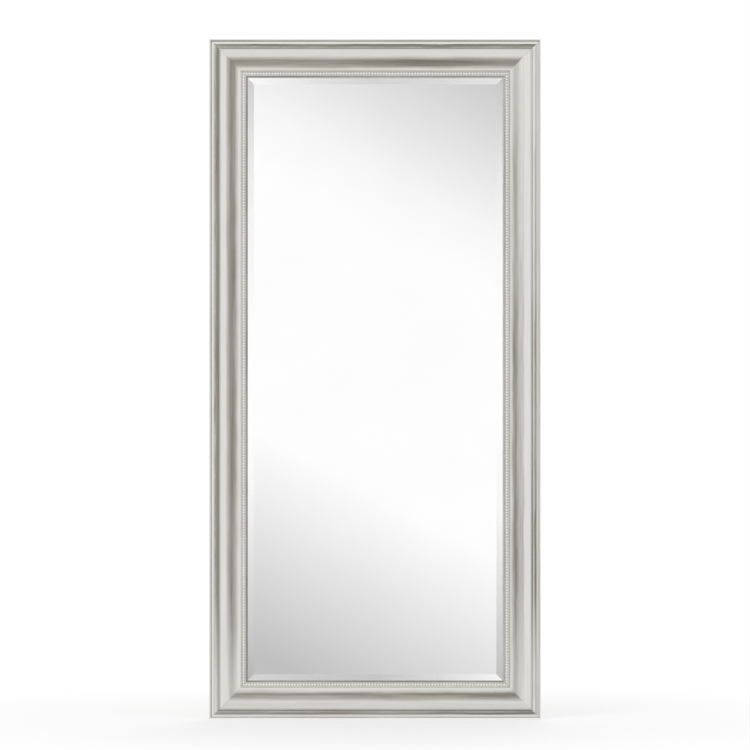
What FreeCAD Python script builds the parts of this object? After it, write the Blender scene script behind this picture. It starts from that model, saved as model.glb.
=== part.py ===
import FreeCAD, Part

import math
import os

# Full-length leaning mirror, upright on its bottom edge: a wide mitred silver moulding, a slip
# with a row of pearls inside it, a bevelled mirror pane, and the back that holds the pane in.
#
# The origin is the bottom centre of the whole object, +Z is up and the mirror faces -Y.
# Sizes are in millimetres. Two measures describe every section of the frame:
#   u  inward from the moulding's outer edge
#   v  forward from the back plane of the moulding

# --- overall ---------------------------------------------------------------------------------
frame_width = 813.0
frame_height = 1666.0

# --- moulding: the face, from the outer edge to its own sight edge ---------------------------
moulding_width = 78.0
edge_height = 20.0
edge_round = 3.0
groove_from_edge = 3.6
groove_width = 1.5
groove_depth = 1.1
band_width = 6.3
band_height = 20.9
band_round = 0.8
cove_drop = 2.3
cove_lead_in = 0.9
cove_floor_width = 6.9
cove_floor_rise = 0.5
cove_round = 9.0
crown_outer_from_edge = 24.9
crown_outer_height = 35.8
crown_outer_round = 4.6
crown_inner_from_edge = 45.6
crown_inner_height = 37.2
crown_inner_round = 16.0
hollow_from_edge = 61.5
hollow_height = 22.0
hollow_round = 24.0
sight_height = 20.0
sight_round = 0.8

# --- moulding: the rebate cut into its back --------------------------------------------------
lip_reach = 6.0
lip_thickness = 6.0

# --- slip: the beaded inner frame in the moulding's rebate -----------------------------------
slip_gap = 0.2
slip_face_width = 15.4
slip_set_back = 1.4
slip_corner_round = 0.7
pearl_channel_wall = 1.7
pearl_channel_depth = 2.2
slip_ridge_width = 1.4
slip_ridge_set_back = 0.6
slip_nose_height = 2.8
slip_lip_reach = 12.1

# --- pearls in the slip's channel ------------------------------------------------------------
pearl_radius = 3.2
pearl_pitch = 7.04
pearl_neck_radius = 1.2
pearl_side_gap = 0.4
pearl_end_gap = 0.05

# --- pane, and the stack behind it -----------------------------------------------------------
glass_thickness = 5.0
glass_rim = 2.2
bevel_width = 25.0
glass_edge_gap = 2.6
glass_lip_gap = 0.12
silver_thickness = 0.2
silver_gap = 0.03
foam_thickness = 1.5
foam_width = 20.0
foam_inset = 4.0
foam_end_gap = 0.5
board_thickness = 3.0
board_recess = 2.0
board_edge_gap = 2.0
block_length = 60.0

# --- screws: one pattern for clips, hangers and bumpers --------------------------------------
screw_radius = 1.75
screw_length = 14.0
screw_tip = 3.0
screw_tip_radius = 0.4
screw_head_radius = 3.4
screw_head_height = 2.2
screw_slot_length = 4.2
screw_slot_width = 0.9
screw_slot_depth = 1.3
screw_fit = 0.05
plate_hole_gap = 0.25

# --- clips that hold the board in the rebate -------------------------------------------------
clips_per_rail = 2
clips_per_stile = 5
clip_width = 14.0
clip_thickness = 1.2
clip_foot = 16.0
clip_reach = 11.0
clip_step = 2.2
clip_corner_gap = 0.3

# --- nails pressed across each mitre from the back -------------------------------------------
nail_leg = 6.0
nail_thickness = 0.6
nail_depth = 12.0
nail_proud = 0.1
nails_from_edge = (18.0, 44.0)

# --- hangers: a folded strap and a swinging ring on the back of each stile -------------------
hanger_drop = 335.0
hanger_from_edge = 36.0
strap_thickness = 0.9
strap_width = 14.0
strap_screw_gap = 2.1
strap_screw_spacing = 20.0
strap_end = 8.0
ring_wire_radius = 1.5
ring_half_width = 14.0
ring_corner_round = 4.0
ring_leg = 5.0
ring_rest_angle = 3.0
ring_fit = 0.08
pin_clearance = 0.02

# --- bumpers that keep the back off the wall -------------------------------------------------
bumper_from_edge = 36.0
bumper_from_end = 60.0
bumper_height = 6.5
bumper_base_radius = 9.0
bumper_tip_radius = 7.5
bumper_floor = 2.5
bumper_well_gap = 0.8

# --- places worked out from the sizes above --------------------------------------------------
rebate_wall = moulding_width - lip_reach
lip_underside = sight_height - lip_thickness
board_front = board_recess + board_thickness
silver_back = board_front + foam_thickness
glass_back = silver_back + silver_thickness + silver_gap
glass_front = glass_back + glass_thickness
sight_edge = moulding_width + slip_gap + slip_face_width
slip_rebate_wall = sight_edge - slip_lip_reach
glass_edge = slip_rebate_wall + glass_edge_gap
bevel_slope = (glass_thickness - glass_rim) / bevel_width
slip_underside = glass_back + glass_rim + bevel_slope * (sight_edge - glass_edge) + glass_lip_gap
slip_front = sight_height - slip_set_back
channel_floor = slip_front - pearl_channel_depth
channel_start = moulding_width + slip_gap + pearl_channel_wall
channel_end = channel_start + 2 * (pearl_radius + pearl_side_gap)
pearl_line = (channel_start + channel_end) / 2
pin_height = ring_wire_radius + ring_fit + strap_thickness + pin_clearance
ring_drop = ring_corner_round + ring_leg + ring_half_width + ring_wire_radius
first_strap_screw = ring_drop + strap_screw_gap + screw_head_radius
strap_screws_below_pin = (first_strap_screw, first_strap_screw + strap_screw_spacing)
strap_length = strap_screws_below_pin[-1] + strap_end
board_edge = rebate_wall + board_edge_gap

member_depth = max(crown_outer_height, crown_inner_height)
back_y = (member_depth - bumper_height) / 2

rounds_share_of_leg = 0.98
cutter_depth = 4 * member_depth


def vec(x, y, z=0.0):
    return FreeCAD.Vector(x, y, z)


# Each side of the frame has its own axes: s along the side, u inward and v forward. The four
# follow one another anticlockwise, seen from the front.
def side_placement(origin, along, inward):
    forward = along.cross(inward)
    rows = [(along.x, inward.x, forward.x, origin.x),
            (along.y, inward.y, forward.y, origin.y),
            (along.z, inward.z, forward.z, origin.z)]
    return FreeCAD.Placement(FreeCAD.Matrix(*[n for row in rows for n in row], 0, 0, 0, 1))


half_width = frame_width / 2
SIDES = {
    "bottom": (frame_width, side_placement(vec(-half_width, back_y, 0), vec(1, 0, 0), vec(0, 0, 1))),
    "right": (frame_height, side_placement(vec(half_width, back_y, 0), vec(0, 0, 1), vec(-1, 0, 0))),
    "top": (frame_width, side_placement(vec(half_width, back_y, frame_height), vec(-1, 0, 0), vec(0, 0, -1))),
    "left": (frame_height, side_placement(vec(-half_width, back_y, frame_height), vec(0, 0, -1), vec(1, 0, 0))),
}
RAILS = ("bottom", "top")


def placed(shape, placement):
    moved = shape.copy()
    moved.Placement = placement.multiply(moved.Placement)
    return moved


def rounded_outline(corners):
    """A closed wire in the u-v plane through (u, v, radius) corners.

    Where two rounds don't fit on the straight leg between them, both are made smaller."""
    points = [vec(0, u, v) for u, v, radius in corners]
    count = len(points)
    half_turns = []
    reaches = []
    for i, (u, v, radius) in enumerate(corners):
        opening = (points[i - 1] - points[i]).getAngle(points[(i + 1) % count] - points[i])
        half_turns.append((math.pi - opening) / 2)
        reaches.append(radius * math.tan(half_turns[i]))
    fits = [1.0] * count
    for i in range(count):
        following = (i + 1) % count
        room = rounds_share_of_leg * (points[following] - points[i]).Length
        wanted = reaches[i] + reaches[following]
        if wanted > room:
            fits[i] = min(fits[i], room / wanted)
            fits[following] = min(fits[following], room / wanted)
    tangents = []
    for i in range(count):
        reach = reaches[i] * fits[i]
        back = points[i - 1] - points[i]
        onward = points[(i + 1) % count] - points[i]
        back.normalize()
        onward.normalize()
        tangents.append((points[i] + back * reach, points[i] + onward * reach, half_turns[i], reach))
    edges = []
    for i in range(count):
        enter, leave, half_turn, reach = tangents[i]
        if reach > 1e-6:
            to_centre = (enter + leave) / 2 - points[i]
            to_centre.normalize()
            radius = reach / math.tan(half_turn)
            middle = points[i] + to_centre * (radius / math.cos(half_turn) - radius)
            edges.append(Part.Arc(enter, middle, leave).toShape())
        following = tangents[(i + 1) % count][0]
        if (following - leave).Length > 1e-6:
            edges.append(Part.LineSegment(leave, following).toShape())
    return Part.Wire(edges)


def mitred(outline, length, reach):
    """The outline run along one side and cut at 45 degrees at both ends; reach is its largest u."""
    run = Part.Face(outline).extrude(vec(length, 0, 0))
    depth = vec(0, 0, -cutter_depth / 2)
    plan = [vec(0, 0), vec(length, 0), vec(length - reach, reach), vec(reach, reach), vec(0, 0)]
    trapezoid = Part.Face(Part.makePolygon([p + depth for p in plan])).extrude(vec(0, 0, cutter_depth))
    return run.common(trapezoid).Solids[0]


def slab(inset, v_from, v_to):
    """An upright plate whose edge is inset from the frame's outer edge on all four sides."""
    plate = Part.makeBox(frame_width - 2 * inset, v_to - v_from, frame_height - 2 * inset)
    plate.translate(vec(inset - half_width, back_y - v_to, inset))
    return plate


def rectangle_at(inset, v):
    """The outline of such a plate, at one depth."""
    x, y, low, high = half_width - inset, back_y - v, inset, frame_height - inset
    return Part.makePolygon([vec(-x, y, low), vec(x, y, low), vec(x, y, high), vec(-x, y, high), vec(-x, y, low)])


# --- moulding --------------------------------------------------------------------------------
def moulding_outline():
    groove_end = groove_from_edge + groove_width
    band_end = groove_end + band_width
    cove_start = band_end + cove_lead_in
    cove_floor = band_height - cove_drop
    return rounded_outline([
        (0, 0, 0),
        (0, edge_height, edge_round),
        (groove_from_edge, edge_height, 0),
        (groove_from_edge + groove_width / 2, edge_height - groove_depth, 0),
        (groove_end, band_height, 0),
        (band_end, band_height, band_round),
        (cove_start, cove_floor, band_round),
        (cove_start + cove_floor_width, cove_floor + cove_floor_rise, cove_round),
        (crown_outer_from_edge, crown_outer_height, crown_outer_round),
        (crown_inner_from_edge, crown_inner_height, crown_inner_round),
        (hollow_from_edge, hollow_height, hollow_round),
        (moulding_width, sight_height, sight_round),
        (moulding_width, lip_underside, 0),
        (rebate_wall, lip_underside, 0),
        (rebate_wall, 0, 0),
    ])


def mitre_nails():
    """Right-angled nails on each mitre, one leg in either member."""
    nails = []
    for length, placement in SIDES.values():
        for start in nails_from_edge:
            end, inner = start + nail_leg, start + nail_thickness
            plan = [vec(start, start), vec(end, start), vec(end, inner), vec(inner, inner),
                    vec(inner, end), vec(start, end), vec(start, start)]
            nail = Part.Face(Part.makePolygon(plan)).extrude(vec(0, 0, nail_depth))
            nail.translate(vec(0, 0, -nail_proud))
            nails.append(placed(nail, placement))
    return nails


# --- slip and pearls -------------------------------------------------------------------------
def slip_outline():
    outer = rebate_wall + slip_gap
    visible = moulding_width + slip_gap
    ridge = slip_front - slip_ridge_set_back
    return rounded_outline([
        (outer, board_front, 0),
        (outer, lip_underside - slip_gap, 0),
        (visible, lip_underside - slip_gap, 0),
        (visible, slip_front, slip_corner_round),
        (channel_start, slip_front, slip_corner_round),
        (channel_start, channel_floor, 0),
        (channel_end, channel_floor, 0),
        (channel_end, ridge, slip_corner_round),
        (channel_end + slip_ridge_width, ridge, slip_corner_round),
        (sight_edge, slip_underside + slip_nose_height, slip_corner_round),
        (sight_edge, slip_underside, 0),
        (slip_rebate_wall, slip_underside, 0),
        (slip_rebate_wall, board_front, 0),
    ])


def pearl_row(length, with_corners):
    """Half-pearls on one unbroken neck along a side. Rails carry the pearl of each corner."""
    run = length - 2 * pearl_line
    gaps = max(3, round(run / pearl_pitch))
    places = [pearl_line + i * run / gaps for i in range(gaps + 1)]
    start = pearl_line - pearl_radius
    if not with_corners:
        places = places[1:-1]
        start = pearl_line + pearl_radius + pearl_end_gap
    end = length - start
    half_chord = math.sqrt(pearl_radius ** 2 - pearl_neck_radius ** 2)
    edges = []
    last = vec(start, 0, pearl_neck_radius)
    for place in places:
        enter = vec(place - half_chord, 0, pearl_neck_radius)
        leave = vec(place + half_chord, 0, pearl_neck_radius)
        edges.append(Part.LineSegment(last, enter).toShape())
        edges.append(Part.Arc(enter, vec(place, 0, pearl_radius), leave).toShape())
        last = leave
    ends = [last, vec(end, 0, pearl_neck_radius), vec(end, 0, 0), vec(start, 0, 0),
            vec(start, 0, pearl_neck_radius)]
    section = Part.Face(Part.Wire(edges + Part.makePolygon(ends).Edges))
    section.rotate(vec(0, 0, 0), vec(1, 0, 0), -90)
    row = section.revolve(vec(0, 0, 0), vec(1, 0, 0), 180)
    row.translate(vec(0, pearl_line, channel_floor))
    return row


# --- pane and the stack behind it ------------------------------------------------------------
def mirror_pane():
    flat_inset = glass_edge + bevel_width
    rim = slab(glass_edge, glass_back, glass_back + glass_rim)
    outlines = [rectangle_at(glass_edge, glass_back + glass_rim), rectangle_at(flat_inset, glass_front)]
    bevelled = Part.makeLoft(outlines, True, True)
    return rim.fuse(bevelled).removeSplitter().Solids[0]


def foam_strip(name, length):
    """A strip between board and pane; the two on the stiles fit between the two on the rails."""
    inset = glass_edge + foam_inset
    ends = inset if name in RAILS else inset + foam_width + foam_end_gap
    strip = Part.makeBox(length - 2 * ends, foam_width, foam_thickness)
    strip.translate(vec(ends, inset, board_front))
    return strip


def setting_blocks():
    """Two rubber blocks that carry the pane's bottom edge."""
    length, placement = SIDES["bottom"]
    blocks = []
    for share in (0.25, 0.75):
        block = Part.makeBox(block_length, glass_edge_gap, glass_rim)
        block.translate(vec(share * length - block_length / 2, slip_rebate_wall, glass_back))
        blocks.append(placed(block, placement))
    return blocks


# --- screws, clips, hangers and bumpers ------------------------------------------------------
def screw():
    """A cross-head screw along +Z, with the underside of its head at z 0 and its head below."""
    crown = vec(0, 0, -screw_head_height)
    shoulder = vec(screw_head_radius * 0.8, 0, -screw_head_height * 0.62)
    rim = vec(screw_head_radius, 0, 0)
    shaft = [rim, vec(screw_radius, 0, 0), vec(screw_radius, 0, screw_length - screw_tip),
             vec(screw_tip_radius, 0, screw_length), vec(0, 0, screw_length), crown]
    outline = Part.Wire([Part.Arc(crown, shoulder, rim).toShape(), *Part.makePolygon(shaft).Edges])
    made = Part.Face(outline).revolve(vec(0, 0, 0), vec(0, 0, 1), 360)
    made.rotate(vec(0, 0, 0), vec(0, 0, 1), 45)
    slots = []
    for length, width in ((screw_slot_length, screw_slot_width), (screw_slot_width, screw_slot_length)):
        slot = Part.makeBox(length, width, 2 * screw_slot_depth)
        slot.translate(vec(-length / 2, -width / 2, -screw_head_height - screw_slot_depth))
        slots.append(slot)
    return made.cut(slots).Solids[0]


def screw_hole(seat):
    """What a screw whose head sits at v = seat takes out of the moulding."""
    depth = screw_length + seat + screw_fit
    return Part.makeCylinder(screw_radius + screw_fit, depth, vec(0, 0, 0))


def clip_places():
    """(side name, place along it) of every clip."""
    places = []
    for name, (length, placement) in SIDES.items():
        count = clips_per_rail if name in RAILS else clips_per_stile
        places += [(name, length * (i + 0.5) / count) for i in range(count)]
    return places


clip_screw_from_edge = rebate_wall - clip_foot / 2


def clip():
    """An offset clip across u, screwed to the moulding's back and stepped down onto the board."""
    heel = rebate_wall - clip_foot
    bend = rebate_wall + clip_corner_gap
    step_end = bend + clip_step
    toe = board_edge + clip_reach
    rise = board_recess
    outline = [vec(0, heel, 0), vec(0, heel, -clip_thickness), vec(0, bend, -clip_thickness),
               vec(0, step_end, rise - clip_thickness), vec(0, toe, rise - clip_thickness),
               vec(0, toe, rise), vec(0, step_end, rise), vec(0, bend, 0), vec(0, heel, 0)]
    body = Part.Face(Part.makePolygon(outline)).extrude(vec(clip_width, 0, 0))
    body.translate(vec(-clip_width / 2, 0, 0))
    hole = Part.makeCylinder(screw_radius + plate_hole_gap, 3 * clip_thickness,
                             vec(0, clip_screw_from_edge, -2 * clip_thickness))
    return body.cut(hole).Solids[0]


def strap_local():
    """Folded strap with its pin eye at the origin; +Y is away from the moulding's back."""
    leaf = 2 * strap_thickness
    end_radius = strap_width / 2
    plate = Part.makeBox(strap_width, leaf, strap_length - end_radius)
    plate.translate(vec(-end_radius, 0, end_radius - strap_length))
    tongue = Part.makeCylinder(end_radius, leaf, vec(0, 0, end_radius - strap_length), vec(0, 1, 0))
    eye = Part.makeCylinder(ring_wire_radius + ring_fit + strap_thickness, strap_width,
                            vec(-end_radius, pin_height, 0), vec(1, 0, 0))
    made = plate.fuse([tongue, eye]).removeSplitter()
    bore = Part.makeCylinder(ring_wire_radius + ring_fit, 2 * strap_width,
                             vec(-strap_width, pin_height, 0), vec(1, 0, 0))
    made = made.cut(bore)
    for below in strap_screws_below_pin:
        hole = Part.makeCylinder(screw_radius + plate_hole_gap, 2 * leaf, vec(0, -leaf / 2, -below), vec(0, 1, 0))
        made = made.cut(hole)
    return made.Solids[0]


def ring_local():
    """D-shaped wire ring that hangs from its straight bar, turned out to where it rests."""
    corner = ring_corner_round
    low = -(corner + ring_leg)
    slant = corner * (1 - math.sqrt(0.5))
    half = ring_half_width
    points = {"bar_left": vec(corner - half, 0, 0), "bar_right": vec(half - corner, 0, 0)}
    right_mid, left_mid = vec(half - slant, 0, -slant), vec(slant - half, 0, -slant)
    edges = [
        Part.LineSegment(points["bar_left"], points["bar_right"]).toShape(),
        Part.Arc(points["bar_right"], right_mid, vec(half, 0, -corner)).toShape(),
        Part.LineSegment(vec(half, 0, -corner), vec(half, 0, low)).toShape(),
        Part.Arc(vec(half, 0, low), vec(0, 0, low - half), vec(-half, 0, low)).toShape(),
        Part.LineSegment(vec(-half, 0, low), vec(-half, 0, -corner)).toShape(),
        Part.Arc(vec(-half, 0, -corner), left_mid, points["bar_left"]).toShape(),
    ]
    path = Part.Wire(edges)
    section = Part.Wire([Part.Circle(points["bar_left"], vec(1, 0, 0), ring_wire_radius).toShape()])
    ring = path.makePipeShell([section], True, False)
    ring.rotate(vec(0, 0, 0), vec(1, 0, 0), ring_rest_angle)
    ring.translate(vec(0, pin_height, 0))
    return ring


def hanger_place(side):
    """The pin eye's foot on the stile's back; side is -1 on the left and 1 on the right."""
    return vec(side * (half_width - hanger_from_edge), back_y, frame_height - hanger_drop)


def bumper_places():
    """Centres of the bumpers on the moulding's back, near the four corners."""
    x = half_width - bumper_from_edge
    return [vec(side * x, back_y, z) for side in (-1, 1) for z in (bumper_from_end, frame_height - bumper_from_end)]


def bumper():
    """A rubber foot on +Z with a well for its screw."""
    body = Part.makeCone(bumper_base_radius, bumper_tip_radius, bumper_height)
    well = Part.makeCylinder(screw_head_radius + bumper_well_gap, bumper_height, vec(0, 0, bumper_floor))
    hole = Part.makeCylinder(screw_radius + plate_hole_gap, 2 * bumper_floor, vec(0, 0, -bumper_floor / 2))
    return body.cut(well).cut(hole).Solids[0]


# A shape made along +Z that points away from the moulding's back, and one that points into it.
AWAY = FreeCAD.Rotation(vec(0, 0, 1), vec(0, 1, 0))
INTO = FreeCAD.Rotation(vec(0, 0, 1), vec(0, -1, 0))


def at(shape, place, rotation):
    return placed(shape, FreeCAD.Placement(place, rotation))


# --- assembly --------------------------------------------------------------------------------
def build():
    parts = {}
    driver = screw()
    nails = mitre_nails()

    clips, clip_screws, holes = [], [], []
    for name, place in clip_places():
        placement = SIDES[name][1]
        here = FreeCAD.Placement(vec(place, 0, 0), FreeCAD.Rotation())
        screw_here = FreeCAD.Placement(vec(place, clip_screw_from_edge, 0), FreeCAD.Rotation())
        clips.append(placed(clip(), placement.multiply(here)))
        seated = driver.copy()
        seated.translate(vec(0, 0, -clip_thickness))
        clip_screws.append(placed(seated, placement.multiply(screw_here)))
        holes.append(placed(screw_hole(-clip_thickness), placement.multiply(screw_here)))

    hanger_screws = []
    leaf = 2 * strap_thickness
    for side, name in ((-1, "left"), (1, "right")):
        foot = hanger_place(side)
        strap, ring = strap_local(), ring_local()
        for shape in (strap, ring):
            shape.translate(foot)
        parts[name + "_hanger_strap"] = strap
        parts[name + "_hang_ring"] = ring
        for below in strap_screws_below_pin:
            spot = foot + vec(0, 0, -below)
            hanger_screws.append(at(driver, spot + vec(0, leaf, 0), INTO))
            holes.append(at(screw_hole(-leaf), spot, INTO))

    bumpers, bumper_screws = [], []
    for spot in bumper_places():
        bumpers.append(at(bumper(), spot, AWAY))
        bumper_screws.append(at(driver, spot + vec(0, bumper_floor, 0), INTO))
        holes.append(at(screw_hole(-bumper_floor), spot, INTO))

    for name, (length, placement) in SIDES.items():
        member = placed(mitred(moulding_outline(), length, moulding_width), placement)
        parts[name + ("_rail" if name in RAILS else "_stile")] = member.cut(nails + holes).Solids[0]
        parts[name + "_slip"] = placed(mitred(slip_outline(), length, sight_edge), placement)
        parts[name + "_pearls"] = placed(pearl_row(length, name in RAILS), placement)

    parts["mirror_glass"] = mirror_pane()
    parts["silvering"] = slab(glass_edge, silver_back, silver_back + silver_thickness)
    parts["foam_strips"] = Part.makeCompound([placed(foam_strip(name, length), placement)
                                              for name, (length, placement) in SIDES.items()])
    parts["setting_blocks"] = Part.makeCompound(setting_blocks())
    parts["backing_board"] = slab(board_edge, board_recess, board_front)
    parts["retaining_clips"] = Part.makeCompound(clips)
    parts["clip_screws"] = Part.makeCompound(clip_screws)
    parts["corner_v_nails"] = Part.makeCompound(nails)
    parts["hanger_screws"] = Part.makeCompound(hanger_screws)
    parts["wall_bumpers"] = Part.makeCompound(bumpers)
    parts["bumper_screws"] = Part.makeCompound(bumper_screws)
    return parts


os.makedirs("parts", exist_ok=True)
for node, shape in sorted(build().items()):
    solids = shape.Solids
    valid = all(solid.isValid() and solid.Volume > 0 for solid in solids)
    print(f"{node:20s} {len(solids):3d} solids {shape.Volume / 1000:10.2f} cm3 {'ok' if valid else 'NOT VALID'}")
    shape.exportStep(f"parts/{node}.step")
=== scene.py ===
import math

import bmesh
import bpy
from mathutils import Matrix, Vector


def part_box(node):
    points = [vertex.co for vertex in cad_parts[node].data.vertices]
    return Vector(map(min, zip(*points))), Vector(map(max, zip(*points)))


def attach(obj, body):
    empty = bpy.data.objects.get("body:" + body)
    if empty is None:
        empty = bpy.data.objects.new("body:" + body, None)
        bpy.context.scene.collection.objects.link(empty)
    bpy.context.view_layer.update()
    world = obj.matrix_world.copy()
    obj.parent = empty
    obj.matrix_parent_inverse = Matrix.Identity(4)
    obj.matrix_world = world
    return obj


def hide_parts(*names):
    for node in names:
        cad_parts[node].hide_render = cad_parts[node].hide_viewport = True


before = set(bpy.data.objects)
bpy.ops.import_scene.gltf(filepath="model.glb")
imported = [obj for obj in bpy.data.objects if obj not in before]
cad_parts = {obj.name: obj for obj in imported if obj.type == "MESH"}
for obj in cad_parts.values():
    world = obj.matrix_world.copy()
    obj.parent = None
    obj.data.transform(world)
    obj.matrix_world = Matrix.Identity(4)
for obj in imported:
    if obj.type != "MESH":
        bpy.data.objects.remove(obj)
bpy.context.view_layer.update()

bl_info = {
    "name": "Leaning floor mirror",
    "version": (1, 0, 0),
    "blender": (4, 5, 0),
    "location": "3D View > Sidebar > Leaner",
    "description": "Dresses a full-length mirror: silver moulding, pearled slip, bevelled pane "
                   "and back",
    "category": "Object",
}

# Every member of the frame is made in its own axes and then set in place:
#   x along the member, y inward from the outer edge, z forward from the moulding's back.
MM = 0.001
STILE_LOW, STILE_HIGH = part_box("left_stile")
SLIP_LOW, SLIP_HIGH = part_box("left_slip")
FRAME_WIDTH = -2 * STILE_LOW.x
FRAME_HEIGHT = STILE_HIGH.z
BACK_Y = STILE_HIGH.y
MOULDING_WIDTH = STILE_HIGH.x - STILE_LOW.x
SLIP_START = SLIP_LOW.x - STILE_LOW.x
SIGHT_EDGE = SLIP_HIGH.x - STILE_LOW.x
SLIP_BACK = BACK_Y - SLIP_HIGH.y
RAILS = ("bottom", "top")


def side_axes(origin, along, inward):
    """The matrix from a member's own axes to the whole mirror's."""
    along, inward = Vector(along), Vector(inward)
    columns = (along, inward, along.cross(inward), Vector(origin))
    return Matrix([[c[row] for c in columns] for row in range(3)] + [[0, 0, 0, 1]])


HALF = FRAME_WIDTH / 2
SIDES = {
    "bottom": (FRAME_WIDTH, side_axes((-HALF, BACK_Y, 0), (1, 0, 0), (0, 0, 1))),
    "right": (FRAME_HEIGHT, side_axes((HALF, BACK_Y, 0), (0, 0, 1), (-1, 0, 0))),
    "top": (FRAME_WIDTH, side_axes((HALF, BACK_Y, FRAME_HEIGHT), (-1, 0, 0), (0, 0, -1))),
    "left": (FRAME_HEIGHT, side_axes((-HALF, BACK_Y, FRAME_HEIGHT), (0, 0, -1), (1, 0, 0))),
}


def length(name, default, description=""):
    return bpy.props.FloatProperty(name=name, description=description or name, default=default,
                                   subtype="DISTANCE", unit="LENGTH", precision=4)


def share(name, default, description=""):
    return bpy.props.FloatProperty(name=name, description=description or name, default=default,
                                   min=0.0, max=1.0, subtype="FACTOR")


def pixels(name, default, description):
    return bpy.props.FloatProperty(name=name, description=description, default=default)


def colour(name, default, description=""):
    return bpy.props.FloatVectorProperty(name=name, description=description or name,
                                         default=default, size=3, min=0.0, max=1.0,
                                         subtype="COLOR")


# --- settings ---
class LeanerMoulding(bpy.types.PropertyGroup):
    edge_height: length("Edge height", 20.0 * MM, "Height of the outer wall above the back")
    edge_round: length("Edge round", 3.0 * MM)
    groove_from_edge: length("Groove from edge", 3.6 * MM)
    groove_width: length("Groove width", 1.5 * MM)
    groove_depth: length("Groove depth", 1.1 * MM)
    band_width: length("Band width", 6.3 * MM, "Flat fillet inside the groove")
    band_height: length("Band height", 20.9 * MM)
    band_round: length("Band round", 0.8 * MM)
    cove_drop: length("Cove drop", 2.3 * MM)
    cove_lead_in: length("Cove lead-in", 0.9 * MM)
    cove_floor_width: length("Cove floor width", 6.9 * MM)
    cove_floor_rise: length("Cove floor rise", 0.5 * MM)
    cove_round: length("Cove round", 9.0 * MM)
    crown_outer_from_edge: length("Crown's outer corner", 24.9 * MM)
    crown_outer_height: length("Crown's outer height", 35.8 * MM)
    crown_outer_round: length("Crown's outer round", 4.6 * MM)
    crown_inner_from_edge: length("Crown's inner corner", 45.6 * MM)
    crown_inner_height: length("Crown's inner height", 37.2 * MM)
    crown_inner_round: length("Crown's inner round", 16.0 * MM)
    hollow_from_edge: length("Hollow from edge", 61.5 * MM)
    hollow_height: length("Hollow height", 22.0 * MM)
    hollow_round: length("Hollow round", 24.0 * MM)
    sight_height: length("Sight height", 20.0 * MM)
    sight_round: length("Sight round", 0.8 * MM)
    lip_reach: length("Lip reach", 6.0 * MM, "How far the front lip covers the slip's flange")
    lip_thickness: length("Lip thickness", 6.0 * MM)


class LeanerSlip(bpy.types.PropertyGroup):
    gap: length("Gap to moulding", 0.2 * MM)
    set_back: length("Set back", 1.4 * MM, "Slip front behind the moulding's sight edge")
    corner_round: length("Corner round", 0.7 * MM)
    channel_wall: length("Channel wall", 1.7 * MM)
    channel_depth: length("Channel depth", 2.2 * MM)
    ridge_width: length("Ridge width", 1.4 * MM)
    ridge_set_back: length("Ridge set back", 0.6 * MM)
    nose_height: length("Nose height", 2.8 * MM)
    lip_reach: length("Lip reach", 12.1 * MM)


class LeanerPearls(bpy.types.PropertyGroup):
    radius: length("Pearl radius", 3.2 * MM)
    pitch: length("Pearl pitch", 7.04 * MM)
    neck_radius: length("Neck radius", 1.2 * MM)
    side_gap: length("Side gap", 0.4 * MM)
    end_gap: length("End gap", 0.05 * MM)


class LeanerPane(bpy.types.PropertyGroup):
    bevel_width: length("Bevel width", 25.0 * MM)


class LeanerFinish(bpy.types.PropertyGroup):
    leaf: colour("Silver leaf", (0.735, 0.724, 0.696))
    # Lighter copies of the leaf: painted light on the slips and a painted highlight on the pearls.
    slip_leaf: colour("Silver on the slips", (0.87, 0.862, 0.83))
    pearl_leaf: colour("Silver on the pearls", (1.0, 0.994, 0.968))
    # Painted highlight: leaf lightened where the slopes and the rim catch the light.
    burnished: colour("Burnished leaf", (1.0, 0.993, 0.97), "Leaf rubbed bright along the slopes")
    # The antique glaze's dark colour, also laid on as painted shade in the hollows, grooves and
    # creases, round the pearls and beside the glass.
    glaze: colour("Antique glaze", (0.283, 0.262, 0.227), "Dark wax and painted shade left in the hollows")
    warm_tint: colour("Warm tint", (0.97, 0.95, 0.90))
    cool_tint: colour("Cool tint", (0.955, 0.957, 0.955))
    metal_share: share("Metal share", 0.90, "How metallic the leaf is")
    hairline: length("Mitre hairline", 0.7 * MM, "Half the width of the line at each mitre")
    raw_wood: colour("Bare wood", (0.50, 0.36, 0.22))
    wood_joint: colour("Joint in the bare wood", (0.12, 0.08, 0.05))
    board: colour("Hardboard", (0.26, 0.155, 0.085))
    board_fleck: colour("Hardboard's flecks", (0.36, 0.235, 0.14))
    rubber: colour("Rubber", (0.03, 0.03, 0.032))
    rubber_fleck: colour("Rubber's flecks", (0.05, 0.05, 0.05))
    foam: colour("Foam", (0.72, 0.72, 0.70))
    foam_fleck: colour("Foam's flecks", (0.55, 0.55, 0.53))
    silver: colour("Silvering", (0.972, 0.973, 0.972))
    glass: colour("Glass", (0.991, 0.993, 0.991))
    # Painted shade in the bevels' reflection: darker towards the middle of the rails and towards
    # the ends of the stiles.
    bevel: colour("Shade in the bevelled glass", (0.79, 0.797, 0.79), "Painted shade along the middle of each bevel")


DRIFT_PLACES = (0.0, 0.25, 0.5, 0.75, 1.0)
DRIFT_LIMIT = 1.5


def shares(name, description, values, limit=1.0):
    """Several strengths of glaze and painted shade, or of painted highlight, on one member."""
    return bpy.props.FloatVectorProperty(name=name, description=description, default=values,
                                         size=len(values), min=0.0, max=limit)


def bands(name, *values):
    return shares(name, "Glaze on the cove's lip, floor and wall, the crown's shoulder and "
                        "slope, and the slope's foot and toe", values)


def touches(name, *values):
    return shares(name, "Glaze on the rim, groove, fillet, crown's brow, crown and sight edge; "
                        "burnish on the rim, cove's wall and slope", values)


def slip_touches(name, *values):
    return shares(name, "Glaze on the ridge, below it, on the nose and beside the glass", values)


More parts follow.
